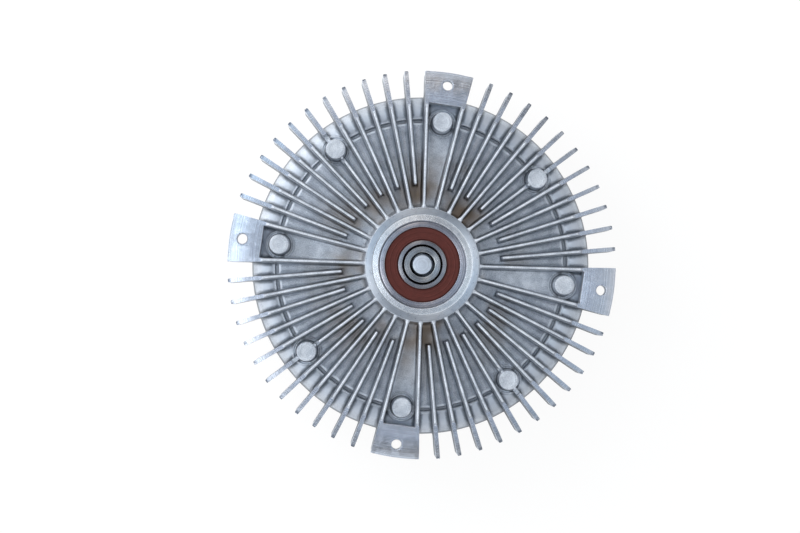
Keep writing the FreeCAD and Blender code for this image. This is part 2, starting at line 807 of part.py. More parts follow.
def front_shaft_seal():
    """A lip seal pressed into the cover. Its lip runs on the shaft's nose under a garter spring."""
    lip_r_in = nose_r + shaft_seal_play
    wall = shaft_seal_wall
    low, top = seal_z, shaft_seal_top_z
    garter_z, garter_mid = seal_garter_place()
    bed = garter_r
    return turned(
        (shaft_seal_r, low), (shaft_seal_r, top),
        (shaft_seal_r - wall, top), (shaft_seal_r - wall, low + wall),
        (garter_mid + bed, low + wall), (garter_mid + bed / 2, garter_z - bed),
        (garter_mid + bed / 2 - bed, garter_z, "arc"), (garter_mid + bed / 2, garter_z + bed),
        (lip_r_in + wall, garter_z + bed + wall / 2), (lip_r_in + wall / 2, garter_z + bed + wall / 2),
        (lip_r_in, garter_z), (lip_r_in + wall / 2, low + 2 * wall), (lip_r_in + wall, low),
    )


def seal_garter_place():
    """Height and middle radius of the garter spring."""
    return seal_z + shaft_seal_w * 0.62, nose_r + shaft_seal_play + shaft_seal_wall + garter_r


def seal_garter_spring():
    z, radius = seal_garter_place()
    return oring(radius + garter_r / 2, garter_r - race_gap, z)


pieces = {
    "rear_housing": rear_housing,
    "front_cover": front_cover,
    "cover_screws": cover_screws,
    "cover_oring": cover_oring,
    "bearing_outer_ring": bearing_outer_ring,
    "bearing_inner_ring": bearing_inner_ring,
    "bearing_seal_rear": lambda: bearing_seal(1),
    "bearing_seal_front": lambda: bearing_seal(-1),
    "bearing_balls": ball_set,
    "bearing_cage": bearing_cage,
    "drive_shaft": drive_shaft,
    "rotor": rotor,
    "rotor_snap_ring": rotor_snap_ring,
    "screw_retaining_ring": screw_retaining_ring,
    "centre_screw": centre_screw,
    "screw_washer": screw_washer,
    "front_shaft_seal": front_shaft_seal,
    "seal_garter_spring": seal_garter_spring,
    "partition_plate": partition_plate,
    "valve_lever": valve_lever,
    "valve_rivet": valve_rivet,
    "control_pin": control_pin,
    "pin_oring": pin_oring,
    "bimetal_strip": bimetal_strip,
}

os.makedirs("parts", exist_ok=True)
for name, make in pieces.items():
    make().exportStep(f"parts/{name}.step")
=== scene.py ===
import math

import bmesh
import bpy
from mathutils import Matrix, Vector


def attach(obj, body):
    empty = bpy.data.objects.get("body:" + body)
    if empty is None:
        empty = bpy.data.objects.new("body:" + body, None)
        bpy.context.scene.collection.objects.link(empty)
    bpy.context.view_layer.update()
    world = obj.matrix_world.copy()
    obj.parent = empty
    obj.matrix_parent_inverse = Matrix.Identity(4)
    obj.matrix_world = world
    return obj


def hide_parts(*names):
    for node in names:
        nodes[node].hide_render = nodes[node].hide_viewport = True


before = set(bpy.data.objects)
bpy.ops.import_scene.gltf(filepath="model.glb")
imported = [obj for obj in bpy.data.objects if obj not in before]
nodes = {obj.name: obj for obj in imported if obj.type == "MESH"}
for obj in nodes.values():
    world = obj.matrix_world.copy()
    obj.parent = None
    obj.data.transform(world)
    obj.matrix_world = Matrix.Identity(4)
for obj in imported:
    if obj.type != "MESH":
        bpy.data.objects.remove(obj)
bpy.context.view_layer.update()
mm = 0.001

# The clutch lies on its front face and is seen from almost straight above, from about a metre away.
# The camera stands a little towards the lower left and is rolled, so that the ears lean clockwise.
height = 1.047
roll = math.radians(8.16)
centre = Vector((0, 0, 47 * mm))
leftwards = 0.036
downwards = 0.018
lens_at_a_metre = 83.4
picture_width = 800
right = Vector((math.cos(roll), math.sin(roll), 0))
up = Vector((-math.sin(roll), math.cos(roll), 0))
seat = centre + height * (Vector((0, 0, 1)) - leftwards * right - downwards * up)
back = (seat - centre).normalized()
side = up.cross(back).normalized()
camera_data = bpy.data.cameras.new("camera")
camera_data.lens = lens_at_a_metre * (seat - centre).length
camera_data.shift_x = -22.3 / picture_width
camera_data.shift_y = -1.85 / picture_width
camera = bpy.data.objects.new("camera", camera_data)
turned_axes = Matrix((side, back.cross(side), back)).transposed().to_4x4()
camera.matrix_world = Matrix.Translation(seat) @ turned_axes
bpy.context.collection.objects.link(camera)
bpy.context.scene.camera = camera
bpy.context.scene.view_settings.view_transform = "Standard"


# A table top painted matt white lies under the clutch. It shows as white to the camera and in the metal,
# and keeps a little of the clutch's shadow.
class Socket:
    """A value in a material. Sums and products of values add Math nodes."""

    def __init__(self, tree, out=None):
        self.tree = tree
        self.out = out

    def node(self, kind, settings, inputs, out=0):
        """A new node with its settings and the values or links of its sockets, as one of its outputs."""
        made = self.tree.nodes.new(kind)
        for key, value in settings.items():
            if key == "stops":
                while len(made.color_ramp.elements) < len(value):
                    made.color_ramp.elements.new(0.5)
                for stop, (place, tint) in zip(made.color_ramp.elements, value):
                    stop.position = place
                    stop.color = tint
            else:
                setattr(made, key, value)
        for key, value in inputs.items():
            if isinstance(value, Socket):
                self.tree.links.new(value.out, made.inputs[key])
            else:
                made.inputs[key].default_value = value
        return Socket(self.tree, made.outputs[out])

    def math(self, operation, *values):
        return self.node("ShaderNodeMath", {"operation": operation}, dict(enumerate(values)))

    def __add__(self, other):
        return self.math("ADD", self, other)

    def __sub__(self, other):
        return self.math("SUBTRACT", self, other)

    def __rsub__(self, other):
        return self.math("SUBTRACT", other, self)

    def __mul__(self, other):
        return self.math("MULTIPLY", self, other)

    def __truediv__(self, other):
        return self.math("DIVIDE", self, other)

    def __pow__(self, other):
        return self.math("POWER", self, other)

    __radd__ = __add__
    __rmul__ = __mul__

    def ramp(self, low, high):
        """0 up to a low value, 1 from a high value on, and smooth between them."""
        return self.node("ShaderNodeMapRange", {"interpolation_type": "SMOOTHSTEP"},
                         {"Value": self, "From Min": low, "From Max": high})

    def fade(self, low, high):
        """1 up to a low value, 0 from a high value on, and smooth between them."""
        return 1 - self.ramp(low, high)

    def tinted(self, low, high):
        """A colour between two, by this value."""
        return self.node("ShaderNodeMix", {"data_type": "RGBA"}, {0: self, 6: low, 7: high}, 2)


def colour(red, green, blue):
    """The shader's numbers for a colour as a screen shows it, from 0 to 255."""
    return tuple(((c / 255 + 0.055) / 1.055) ** 2.4 for c in (red, green, blue)) + (1.0,)


white = (1, 1, 1, 1)
glow_to_camera = 0.93
glow_to_metal = 0.4
floor_material = bpy.data.materials.new("floor_white")
floor_material.use_nodes = True
tree = floor_material.node_tree
tree.nodes.clear()
start = Socket(tree)
matt = start.node("ShaderNodeBsdfDiffuse", {}, {"Color": (0.88, 0.88, 0.88, 1)})
glow = start.node("ShaderNodeEmission", {}, {"Color": white, "Strength": 1.0})
path = tree.nodes.new("ShaderNodeLightPath").outputs
seen = Socket(tree, path["Is Camera Ray"]) * glow_to_camera
seen = seen + Socket(tree, path["Is Glossy Ray"]) * glow_to_metal
seen = seen + Socket(tree, path["Is Transmission Ray"]) * glow_to_metal
mixed = start.node("ShaderNodeMixShader", {}, {0: seen, 1: matt, 2: glow})
output = tree.nodes.new("ShaderNodeOutputMaterial")
tree.links.new(mixed.out, output.inputs["Surface"])
bpy.ops.object.select_all(action="DESELECT")
bpy.ops.mesh.primitive_plane_add(size=8, location=(0, 0, -0.0004))
floor = bpy.context.object
floor.name = "floor"
floor.data.materials.append(floor_material)

# The room is a pale cloth tent over the table. Its roof has cream, blue and dark strips round the
# middle, which turned metal shows as spokes. Its left half is brighter, and one soft lamp stands at the
# upper left.
world = bpy.data.worlds.new("room")
bpy.context.scene.world = world
world.use_nodes = True
tree = world.node_tree
tree.nodes.clear()
start = Socket(tree)
direction = Socket(tree, tree.nodes.new("ShaderNodeTexCoord").outputs["Generated"])
parts = tree.nodes.new("ShaderNodeSeparateXYZ")
tree.links.new(direction.out, parts.inputs[0])
x, y, z = (Socket(tree, out) for out in parts.outputs)
without_roll = 1 - math.degrees(roll) / 360
compass = start.math("FRACT", start.math("ARCTAN2", y, x) / (2 * math.pi) + without_roll)


def strips(bands):
    """A ring of strips by degrees round from the picture's right, as (degrees, brightness, blueness)."""
    first = bands[0]
    last = bands[-1]
    share = (360 - last[0]) / (first[0] + 360 - last[0])
    seam = [last[i] + (first[i] - last[i]) * share for i in (1, 2)]
    ring = [(0.0, *seam)] + bands + [(360.0, *seam)]
    stops = []
    for place, light, blue in ring:
        stops.append((place / 360, (light * (1 - blue), light, light * (1 + blue), 1)))
    return start.node("ShaderNodeValToRGB", {"stops": stops}, {"Fac": compass}, "Color")


roof = strips([
    (8, 0.8, 0.05), (26, 0.65, 0.05), (42, 0.05, 0.2), (78, 0.05, 0.2), (90, 1.7, -0.12),
    (104, 1.5, -0.05), (120, 0.3, 0.2), (150, 1.4, 0.25), (172, 2.1, 0.15), (195, 3.5, 0.0),
    (210, 2.8, 0.05), (226, 0.1, 0.2), (262, 0.05, 0.2), (280, 0.5, -0.12), (298, 0.1, 0.2),
    (325, 0.6, 0.25)])
tent = strips([
    (20, 0.85, 0.02), (50, 0.8, 0.02), (85, 0.8, 0.05), (130, 0.85, 0.1), (180, 0.9, 0.08),
    (230, 1.0, 0.08), (265, 1.05, 0.06), (290, 0.7, 0.02), (320, 0.85, 0.02)])
wall = strips([
    (15, 0.8, 0.05), (60, 0.7, 0.05), (100, 1.5, 0.03), (150, 2.4, 0.03), (205, 2.1, 0.03),
    (250, 1.3, 0.03), (300, 0.75, 0.05)])
skirting = (0.42, 0.45, 0.5, 1)
roof_hole = (0.46, 0.53, 0.65, 1)
room_light = z.ramp(0.02, 0.25).tinted(skirting, wall)
room_light = z.ramp(0.52, 0.66).tinted(room_light, tent)
room_light = z.ramp(0.85, 0.93).tinted(room_light, roof)
room_light = z.ramp(0.982, 0.996).tinted(room_light, roof_hole)
path = tree.nodes.new("ShaderNodeLightPath").outputs
shown = Socket(tree, path["Is Camera Ray"]).tinted(room_light, white)
backdrop = start.node("ShaderNodeBackground", {}, {"Color": shown, "Strength": 1.0})
output = tree.nodes.new("ShaderNodeOutputWorld")
tree.links.new(backdrop.out, output.inputs["Surface"])
lamp_data = bpy.data.lights.new("lamp_left", "AREA")
lamp_data.size = 0.6
lamp_data.energy = 8.0
lamp = bpy.data.objects.new("lamp_left", lamp_data)
lamp.location = (-0.62, 0.34, 0.5)
lamp.visible_glossy = False
lamp.rotation_euler = (centre - lamp.location).to_track_quat("-Z", "Y").to_euler()
bpy.context.collection.objects.link(lamp)


# The rear housing is one aluminium die casting: a disc with a tall collar, a groove, and a shoulder that
# rounds down to the rim. It is screwed to the cover from the front, and its collar holds the bearing.
floor_z = 33.6
crest_z = 49.6
land_z = 50.0
face_z = 46.8
groove_z = 30.6
under_z = 29.6
joint_z = 18.7
seat_z = 34.2
bore_r = 23.5
collar_r = 30.9
hollow_r = 71
rim_r = 92.6
shoulder_r = 83.86
shoulder_z = 23.23
shoulder_round = 8.947


def shoulder(r):
    """Height of the shoulder's surface at a radius."""
    return shoulder_z + math.sqrt(max(0.0, shoulder_round ** 2 - (r - shoulder_r) ** 2))


def piece(name):
    """A new piece at the origin with nothing in it yet, open for modelling."""
    bpy.ops.object.select_all(action="DESELECT")
    bpy.ops.object.add(type="MESH", location=(0, 0, 0))
    made = bpy.context.object
    made.name = made.data.name = name
    bpy.ops.object.mode_set(mode="EDIT")
    return made


def pick(test):
    """Selects the points whose place in millimetres passes a test, with the edges and faces between."""
    mesh = bmesh.from_edit_mesh(bpy.context.object.data)
    for vert in mesh.verts:
        vert.select = bool(test(vert.co / mm))
    mesh.select_flush_mode()
    bmesh.update_edit_mesh(bpy.context.object.data)


def rounded(outline):
    """The outline with each corner (r, z, radius) replaced by a few points round it."""
    sharpest = 0.2
    most_of_a_side = 0.48
    bend_steps = 4
    points = []
    for i, corner in enumerate(outline):
        if len(corner) == 2:
            points.append(corner)
            continue
        here = Vector(corner[:2])
        before = Vector(outline[i - 1][:2])
        after = Vector(outline[(i + 1) % len(outline)][:2])
        into = (before - here).normalized()
        away = (after - here).normalized()
        shorter_side = min((before - here).length, (after - here).length)
        reach = corner[2] / math.tan(max(sharpest, into.angle(away)) / 2)
        reach = min(reach, most_of_a_side * shorter_side)
        for bend in range(bend_steps + 1):
            t = bend / bend_steps
            points.append(tuple(here + into * reach * (1 - t) ** 2 + away * reach * t ** 2))
    return points


def drawn(name, points):
    """A new piece that is a line through (x, z) points in millimetres, drawn by extruding a point."""
    made = piece(name)
    bpy.ops.mesh.primitive_circle_add(vertices=3, radius=mm)
    bpy.ops.mesh.merge(type="CENTER")
    here = (0.0, 0.0)
    for i, point in enumerate(points):
        step = {"value": ((point[0] - here[0]) * mm, 0, (point[1] - here[1]) * mm)}
        if i == 0:
            bpy.ops.transform.translate(**step)
        else:
            bpy.ops.mesh.extrude_region_move(TRANSFORM_OT_translate=step)
        here = point
    bpy.ops.mesh.select_all(action="SELECT")
    return made


def lathe(name, outline, steps, closed=True):
    """A turned piece from (radius, height, rounding) points in millimetres, spun about Z."""
    points = rounded(outline)
    made = drawn(name, points + points[:1] if closed else points)
    bpy.ops.mesh.spin(steps=steps, angle=2 * math.pi, center=(0, 0, 0), axis=(0, 0, 1))
    return finished(made)


def chosen(pieces):
    """Selects some pieces, and makes the first the active one."""
    bpy.ops.object.select_all(action="DESELECT")
    for part in pieces:
        part.select_set(True)
    bpy.context.view_layer.objects.active = pieces[0]


def finished(made):
    """Closes the mesh that is open, points its faces outwards and shades it smooth but for its edges."""
    bpy.ops.mesh.select_all(action="SELECT")
    bpy.ops.mesh.remove_doubles(threshold=0.002 * mm)
    bpy.ops.mesh.dissolve_degenerate(threshold=0.001 * mm)
    bpy.ops.mesh.normals_make_consistent(inside=False)
    bpy.ops.object.mode_set(mode="OBJECT")
    chosen([made])
    bpy.ops.object.shade_smooth_by_angle(angle=math.radians(32))
    return made


mouth_and_land = [(23.95, 49.95, 0.1), (26.9, 49.64, 0.1), (27.2, land_z, 0.1), (collar_r, land_z, 0.5)]
cell_floor = [(32.05, floor_z, 3.6), (55, floor_z), (77.9, floor_z, 1.7)]
groove = [(78.2, groove_z, 0.5), (79.5, groove_z, 0.5), (79.9, 32.0, 0.6)]
shoulder_places = (80.7, 81.6, 83.0, 84.6, 86.2, 87.7, 89.0, 90.2, 91.2, 91.95, 92.4)
shoulder_arc = [(r, shoulder(r)) for r in shoulder_places]
rim = [(rim_r, 25.15), (rim_r, 18.9), (92.4, joint_z)]
hollow = [(hollow_r, joint_z), (hollow_r, under_z), (20, under_z), (20, seat_z)]
bore = [(bore_r, seat_z), (bore_r, 48.95)]
disc_outline = mouth_and_land + cell_floor + groove + shoulder_arc + rim + hollow + bore
disc = lathe("casting_disc", disc_outline, 224)


# The cooling fins are cast on the housing's disc. Long ones reach the collar, and short ones start
# further out with a round end. Outside the rim they are free blades, whose tips are turned on a lathe.
tip_r = 105
blade_foot = 21.2
blade_r = 93.5
slope_r = 100.4
slope_fall = 0.9
root_width = 1.16
root_low = 33
root_high = 36.5
groove_in = 77.7
groove_out = 79.3
groove_drop = 1.6
turned_from = 86.9
inside_disc = 31.5
root_rows = [(33.1, 1.15), (33.62, 1.0), (33.76, 0.7), (34.05, 0.44), (34.5, 0.25), (35.1, 0.11),
             (35.9, 0.03)]
crest_rows = [(face_z, 1.04), (48.4, 1.0), (48.85, 0.93), (49.2, 0.78), (49.45, 0.55), (crest_z, 0.25)]
outer_places = [60, 76.2, 77.6, 78.6, 79.6, 80.4, 81.5, 83, 85.6, 87, 88.5, 90.2, 91.3, 92.1, rim_r, 93.1,
                93.9, slope_r, 104.2, 104.8, tip_r]
round_tip = {104.2: 0.97, 104.8: 0.86, tip_r: 0.7}


def at(measure, place):
    """Whether a point's measure is that of a station or a row."""
    return abs(measure - place) < 0.01


def bar(name, stations, rows):
    """An upright bar along X, cut across at each station (x, width) and level at each row (z, width)."""
    made = piece(name)
    low = rows[0][0]
    high = rows[-1][0]
    first = stations[0][0]
    last = stations[-1][0]
    bpy.ops.mesh.primitive_cube_add(size=1)
    bpy.ops.transform.resize(value=((last - first) * mm, 2 * mm, (high - low) * mm))
    bpy.ops.transform.translate(value=((first + last) / 2 * mm, 0, (low + high) / 2 * mm))
    for x, _ in stations[1:-1]:
        bpy.ops.mesh.select_all(action="SELECT")
        bpy.ops.mesh.bisect(plane_co=(x * mm, 0, 0), plane_no=(1, 0, 0))
    for z, _ in rows[1:-1]:
        bpy.ops.mesh.select_all(action="SELECT")
        bpy.ops.mesh.bisect(plane_co=(0, 0, z * mm), plane_no=(0, 0, 1))
    for x, width in stations:
        narrow(lambda p: at(p.x, x), width)
    for z, width in rows:
        narrow(lambda p: at(p.z, z), width)
    return made


def narrow(test, width):
    """Scales the picked points' distance from the bar's middle plane."""
    pick(test)
    bpy.ops.transform.resize(value=(1, width, 1), center_override=(0, 0, 0))


def level(test, z):
    """Brings the picked points to one height."""
    pick(test)
    bpy.ops.transform.resize(value=(1, 1, 0), center_override=(0, 0, z * mm))


def shift(test, x=0.0, z=0.0):
    """Moves the picked points."""
    pick(test)
    bpy.ops.transform.translate(value=(x * mm, 0, z * mm))


def part_way(x, first, last):
    """How far a place is on the way between two others, from 0 to 1."""
    return min(1.0, max(0.0, (x - first) / (last - first)))


def half(x):
    """Half of a fin's thickness just below its crest, which grows towards the tip."""
    return 0.82 + 0.23 * (x - collar_r) / (tip_r - collar_r)


def foot(x):
    """How far a fin's foot spreads on each side: widely on the shoulder, less towards the collar."""
    spread = 1.0 + 1.4 * part_way(x, 56, 78)
    if 77 < x < 80.5:
        spread = 0.9
    return spread - (spread - 0.3) * part_way(x, 88.6, 91.6)


def fin(name, inner, extra_rows=(), extra_places=()):
    """A fin with the stations of its inner end given. Its foot follows the groove and the shoulder."""
    places = sorted(set(outer_places) | set(extra_places))
    stations = inner + [(x, half(x) * round_tip.get(x, 1.0)) for x in places]
    rows = [(blade_foot, 1.2)] + [(z, root_width) for z, _ in root_rows] + list(extra_rows) + crest_rows
    made = bar(name, stations, rows)
    for z, spread in root_rows + [(blade_foot, 1.15)]:
        for x, width in stations:
            share = 1.0 if x < rim_r + 0.3 else 0.25 if x < blade_r else 0.0
            wider = 1 + share * spread * foot(x) / (root_width * width)
            narrow(lambda p: at(p.z, z) and at(p.x, x), wider)
    for x in places:
        if groove_in < x < groove_out:
            shift(lambda p: at(p.x, x) and root_low < p.z < root_high, z=-groove_drop)
        if groove_out < x < blade_r:
            drop = shoulder(min(x, rim_r)) - floor_z
            shift(lambda p: at(p.x, x) and root_low < p.z < root_high, z=drop)
    level(lambda p: p.x < hollow_r + 1 and p.z < inside_disc, inside_disc)
    level(lambda p: p.x > turned_from and p.z > face_z, face_z)
    for x in round_tip:
        fall = slope_fall * (x - slope_r) / (tip_r - slope_r)
        shift(lambda p: at(p.x, x) and p.z > face_z - 0.3, z=-fall)
    return made


def end_of(x, widths):
    """Stations of a fin's inner end, as (run from its start, share of the thickness there)."""
    return [(x + run, half(x) * share) for run, share in widths]


at_collar = end_of(30.2, [(0, 1.7), (1.7, 1.5), (2.2, 1.25), (3.0, 1.08), (4.2, 1.0), (8, 1.0),
                          (14, 1.05)])
round_end = end_of(43.6, [(0, 0.3), (0.12, 0.62), (0.35, 0.85), (0.7, 0.97), (1.2, 1.0)])
long_fin = finished(fin("long_fin", at_collar))
short_fin = fin("short_fin", round_end)
for low, high, run in ((30, 33.7, -1.5), (33.7, 33.9, -0.9), (33.9, 34.3, -0.45), (34.3, 35, -0.15)):
    shift(lambda p: p.x < 44.5 and low < p.z < high, x=run)
shift(lambda p: p.x < 43.68 and p.z > 49.3, z=-0.35)
shift(lambda p: p.x < 43.8 and p.z > 49.3, z=-0.15)
finished(short_fin)
saddle_z = 39.1
saddle_places = [68.4, 69.1, 69.45, 69.6, 86.8, 87.3, 87.4, 87.8]
screw_fin = fin("screw_fin", at_collar, [(38.7, 1.12), (saddle_z, 1.1)], saddle_places)
for x, width in ((69.1, 0.85), (69.45, 0.5), (87.4, 0.7)):
    narrow(lambda p: at(p.x, x) and p.z > saddle_z + 0.1, width)
level(lambda p: 69.5 < p.x < 87.35 and p.z > saddle_z + 0.01, saddle_z)
finished(screw_fin)


def round_the_axis(model, degrees):
    """Copies of a piece, each turned about Z and with its own mesh. The model itself isn't kept."""
    made = []
    for angle in degrees:
        copy = model.copy()
        copy.data = model.data.copy()
        copy.data.transform(Matrix.Rotation(math.radians(angle), 4, "Z"))
        bpy.context.collection.objects.link(copy)
        made.append(copy)
    bpy.data.objects.remove(model)
    return made


fin_places = 56
fin_step = 360 / fin_places
fins = round_the_axis(screw_fin, [fin_step * p for p in (7, 21, 35, 49)])
fins += round_the_axis(long_fin, [fin_step * p for p in range(fin_places) if p % 2 and p % 14 != 7])
fins += round_the_axis(short_fin, [fin_step * p for p in range(fin_places) if p % 2 == 0 and p % 14])


# Four ears carry the fan. Each is a plate cast between two fins, with a wall down to the rim, and its
# top was turned flat together with the fins' tips and then drilled.
ear_inner = 87.5
ear_wall = 91.3
ear_under = 38.3
ear_top = face_z - 0.02
ear_angle = 14.4
hole_r = 2.75
hole_circle = 98
ear_outline = rounded([
    (ear_inner, ear_top, 0.25), (slope_r, ear_top), (tip_r, ear_top - slope_fall, 0.4),
    (tip_r, ear_under, 0.6), (ear_wall, ear_under, 1.5), (ear_wall, blade_foot), (ear_inner, blade_foot)])
ear = drawn("ear", ear_outline + ear_outline[:1])
bpy.ops.mesh.remove_doubles(threshold=0.001 * mm)
bpy.ops.mesh.select_all(action="SELECT")
bpy.ops.mesh.edge_face_add()
bpy.ops.transform.rotate(value=math.radians(-ear_angle / 2), orient_axis="Z", center_override=(0, 0, 0))
bpy.ops.mesh.spin(steps=16, angle=math.radians(ear_angle), center=(0, 0, 0), axis=(0, 0, 1))
finished(ear)
# The plate's inner edge is straight, square to the cell behind it.
for point in ear.data.vertices:
    radius = math.hypot(point.co.x, point.co.y)
    if radius < (ear_inner + 0.4) * mm:
        point.co.x = radius
drill_outline = [(0, 36), (hole_r, 36), (hole_r, 46.35), (3.2, face_z), (4.2, 47.8), (0, 47.8)]
drill = lathe("drill", drill_outline, 56, closed=False)
drill.data.transform(Matrix.Translation((hole_circle * mm, 0, 0)))


def cut_away(made, tool):
    """Takes a tool's shape out of a piece."""
    chosen([made])
    bpy.ops.object.modifier_add(type="BOOLEAN")
    cut = made.modifiers[-1]
    cut.operation = "DIFFERENCE"
    cut.solver = "EXACT"
    cut.object = tool
    bpy.ops.object.modifier_apply(modifier=cut.name)
    bpy.data.objects.remove(tool)


cut_away(ear, drill)
bpy.ops.object.mode_set(mode="EDIT")
finished(ear)
ears = round_the_axis(ear, (0, 90, 180, 270))

# Eight posts cast on the disc take the cover's screws from the front. Their tops are flat with the mark
# of an ejector pin, and the four that stand in line with a fin have a small rib on each side.
post_circle = 78
post_top = 45.8
dimple_z = 45.66
post = lathe("post", [
    (0, dimple_z), (3.1, dimple_z, 0.15), (3.3, post_top, 0.1), (5.25, post_top, 0.5), (5.8, 33.7, 0.3),
    (6.9, 33.7, 0.2), (7.2, 34.2, 0.2), (7.7, 34.2, 0.3), (8.5, 33.5), (8.5, 31)], 56, closed=False)
post.data.transform(Matrix.Translation((post_circle * mm, 0, 0)))
rib = lathe("rib", [(0, 45.0), (0.8, 45.0, 0.3), (1.6, 33)], 16, closed=False)
ribs = []
rib_offset = 5.6
for place in (post_circle - rib_offset, post_circle + rib_offset):
    copy = rib.copy()
    copy.data = rib.data.copy()
    copy.data.transform(Matrix.Translation((place * mm, 0, 0)))
    bpy.context.collection.objects.link(copy)
    ribs += round_the_axis(copy, (45, 135, 225, 315))
bpy.data.objects.remove(rib)
posts = round_the_axis(post, range(0, 360, 45))


def joined(name, pieces):
    """The pieces as one."""
    chosen(pieces)
    bpy.ops.object.join()
    pieces[0].name = pieces[0].data.name = name
    return pieces[0]


casting = joined("rear_casting", [disc] + fins + ears + posts + ribs)


# The casting's skin is grey and grainy, and heat has stained it brown near the collar. Shade is painted
# dark beside the fins, in the groove, on the rim's edge and round the posts' feet, and painted highlights
# lie pale along the groove's edges, beside the fins' feet and on the shoulder. The collar's end, the ears
# and the tips are turned bare.
def material(name):
    """A new material as itself, its shader, and the place on the piece in millimetres."""
    made = bpy.data.materials.new(name)
    made.use_nodes = True
    tree = made.node_tree
    spot = Socket(tree, tree.nodes.new("ShaderNodeTexCoord").outputs["Object"])
    spot = spot.node("ShaderNodeVectorMath", {"operation": "SCALE"}, {0: spot, 3: 1000.0})
    return made, tree.nodes["Principled BSDF"], spot


def put(shader, **values):
    """Sets or links the shader's sockets. An underscore in a name stands for a space."""
    for key, value in values.items():
        socket = shader.inputs[key.replace("_", " ")]
        if isinstance(value, Socket):
            value.tree.links.new(value.out, socket)
        else:
            socket.default_value = value


def noise(spot, size, detail=3.0, rough=0.55):
    """Noise between 0 and 1 with spots of about a size in millimetres."""
    look = {"Vector": spot, "Scale": 1.0 / size, "Detail": detail, "Roughness": rough}
    return spot.node("ShaderNodeTexNoise", {}, look, "Fac")


def bumped(height, distance):
    """A normal from a height between 0 and 1, for a depth in millimetres."""
    look = {"Height": height, "Distance": distance * mm, "Strength": 1.0}
    return height.node("ShaderNodeBump", {}, look, "Normal")


def axes(spot):
    """x, y, z and the distance from the axis, in millimetres."""
    parts = spot.tree.nodes.new("ShaderNodeSeparateXYZ")
    spot.tree.links.new(spot.out, parts.inputs[0])
    x, y, z = (Socket(spot.tree, out) for out in parts.outputs)
    return x, y, z, (x * x + y * y) ** 0.5


def turn_of(x, y):
    """The place round the axis, in turns from -0.5 to 0.5."""
    return x.math("ARCTAN2", y, x) / (2 * math.pi)


def from_nearest(turn, radius, count, first):
    """Millimetres from the nearest of evenly spaced places. The first is given in steps from X."""
    steps = turn.math("FRACT", turn * count + (count + 0.5 - first))
    return turn.math("ABSOLUTE", steps - 0.5) * radius * (2 * math.pi / count)


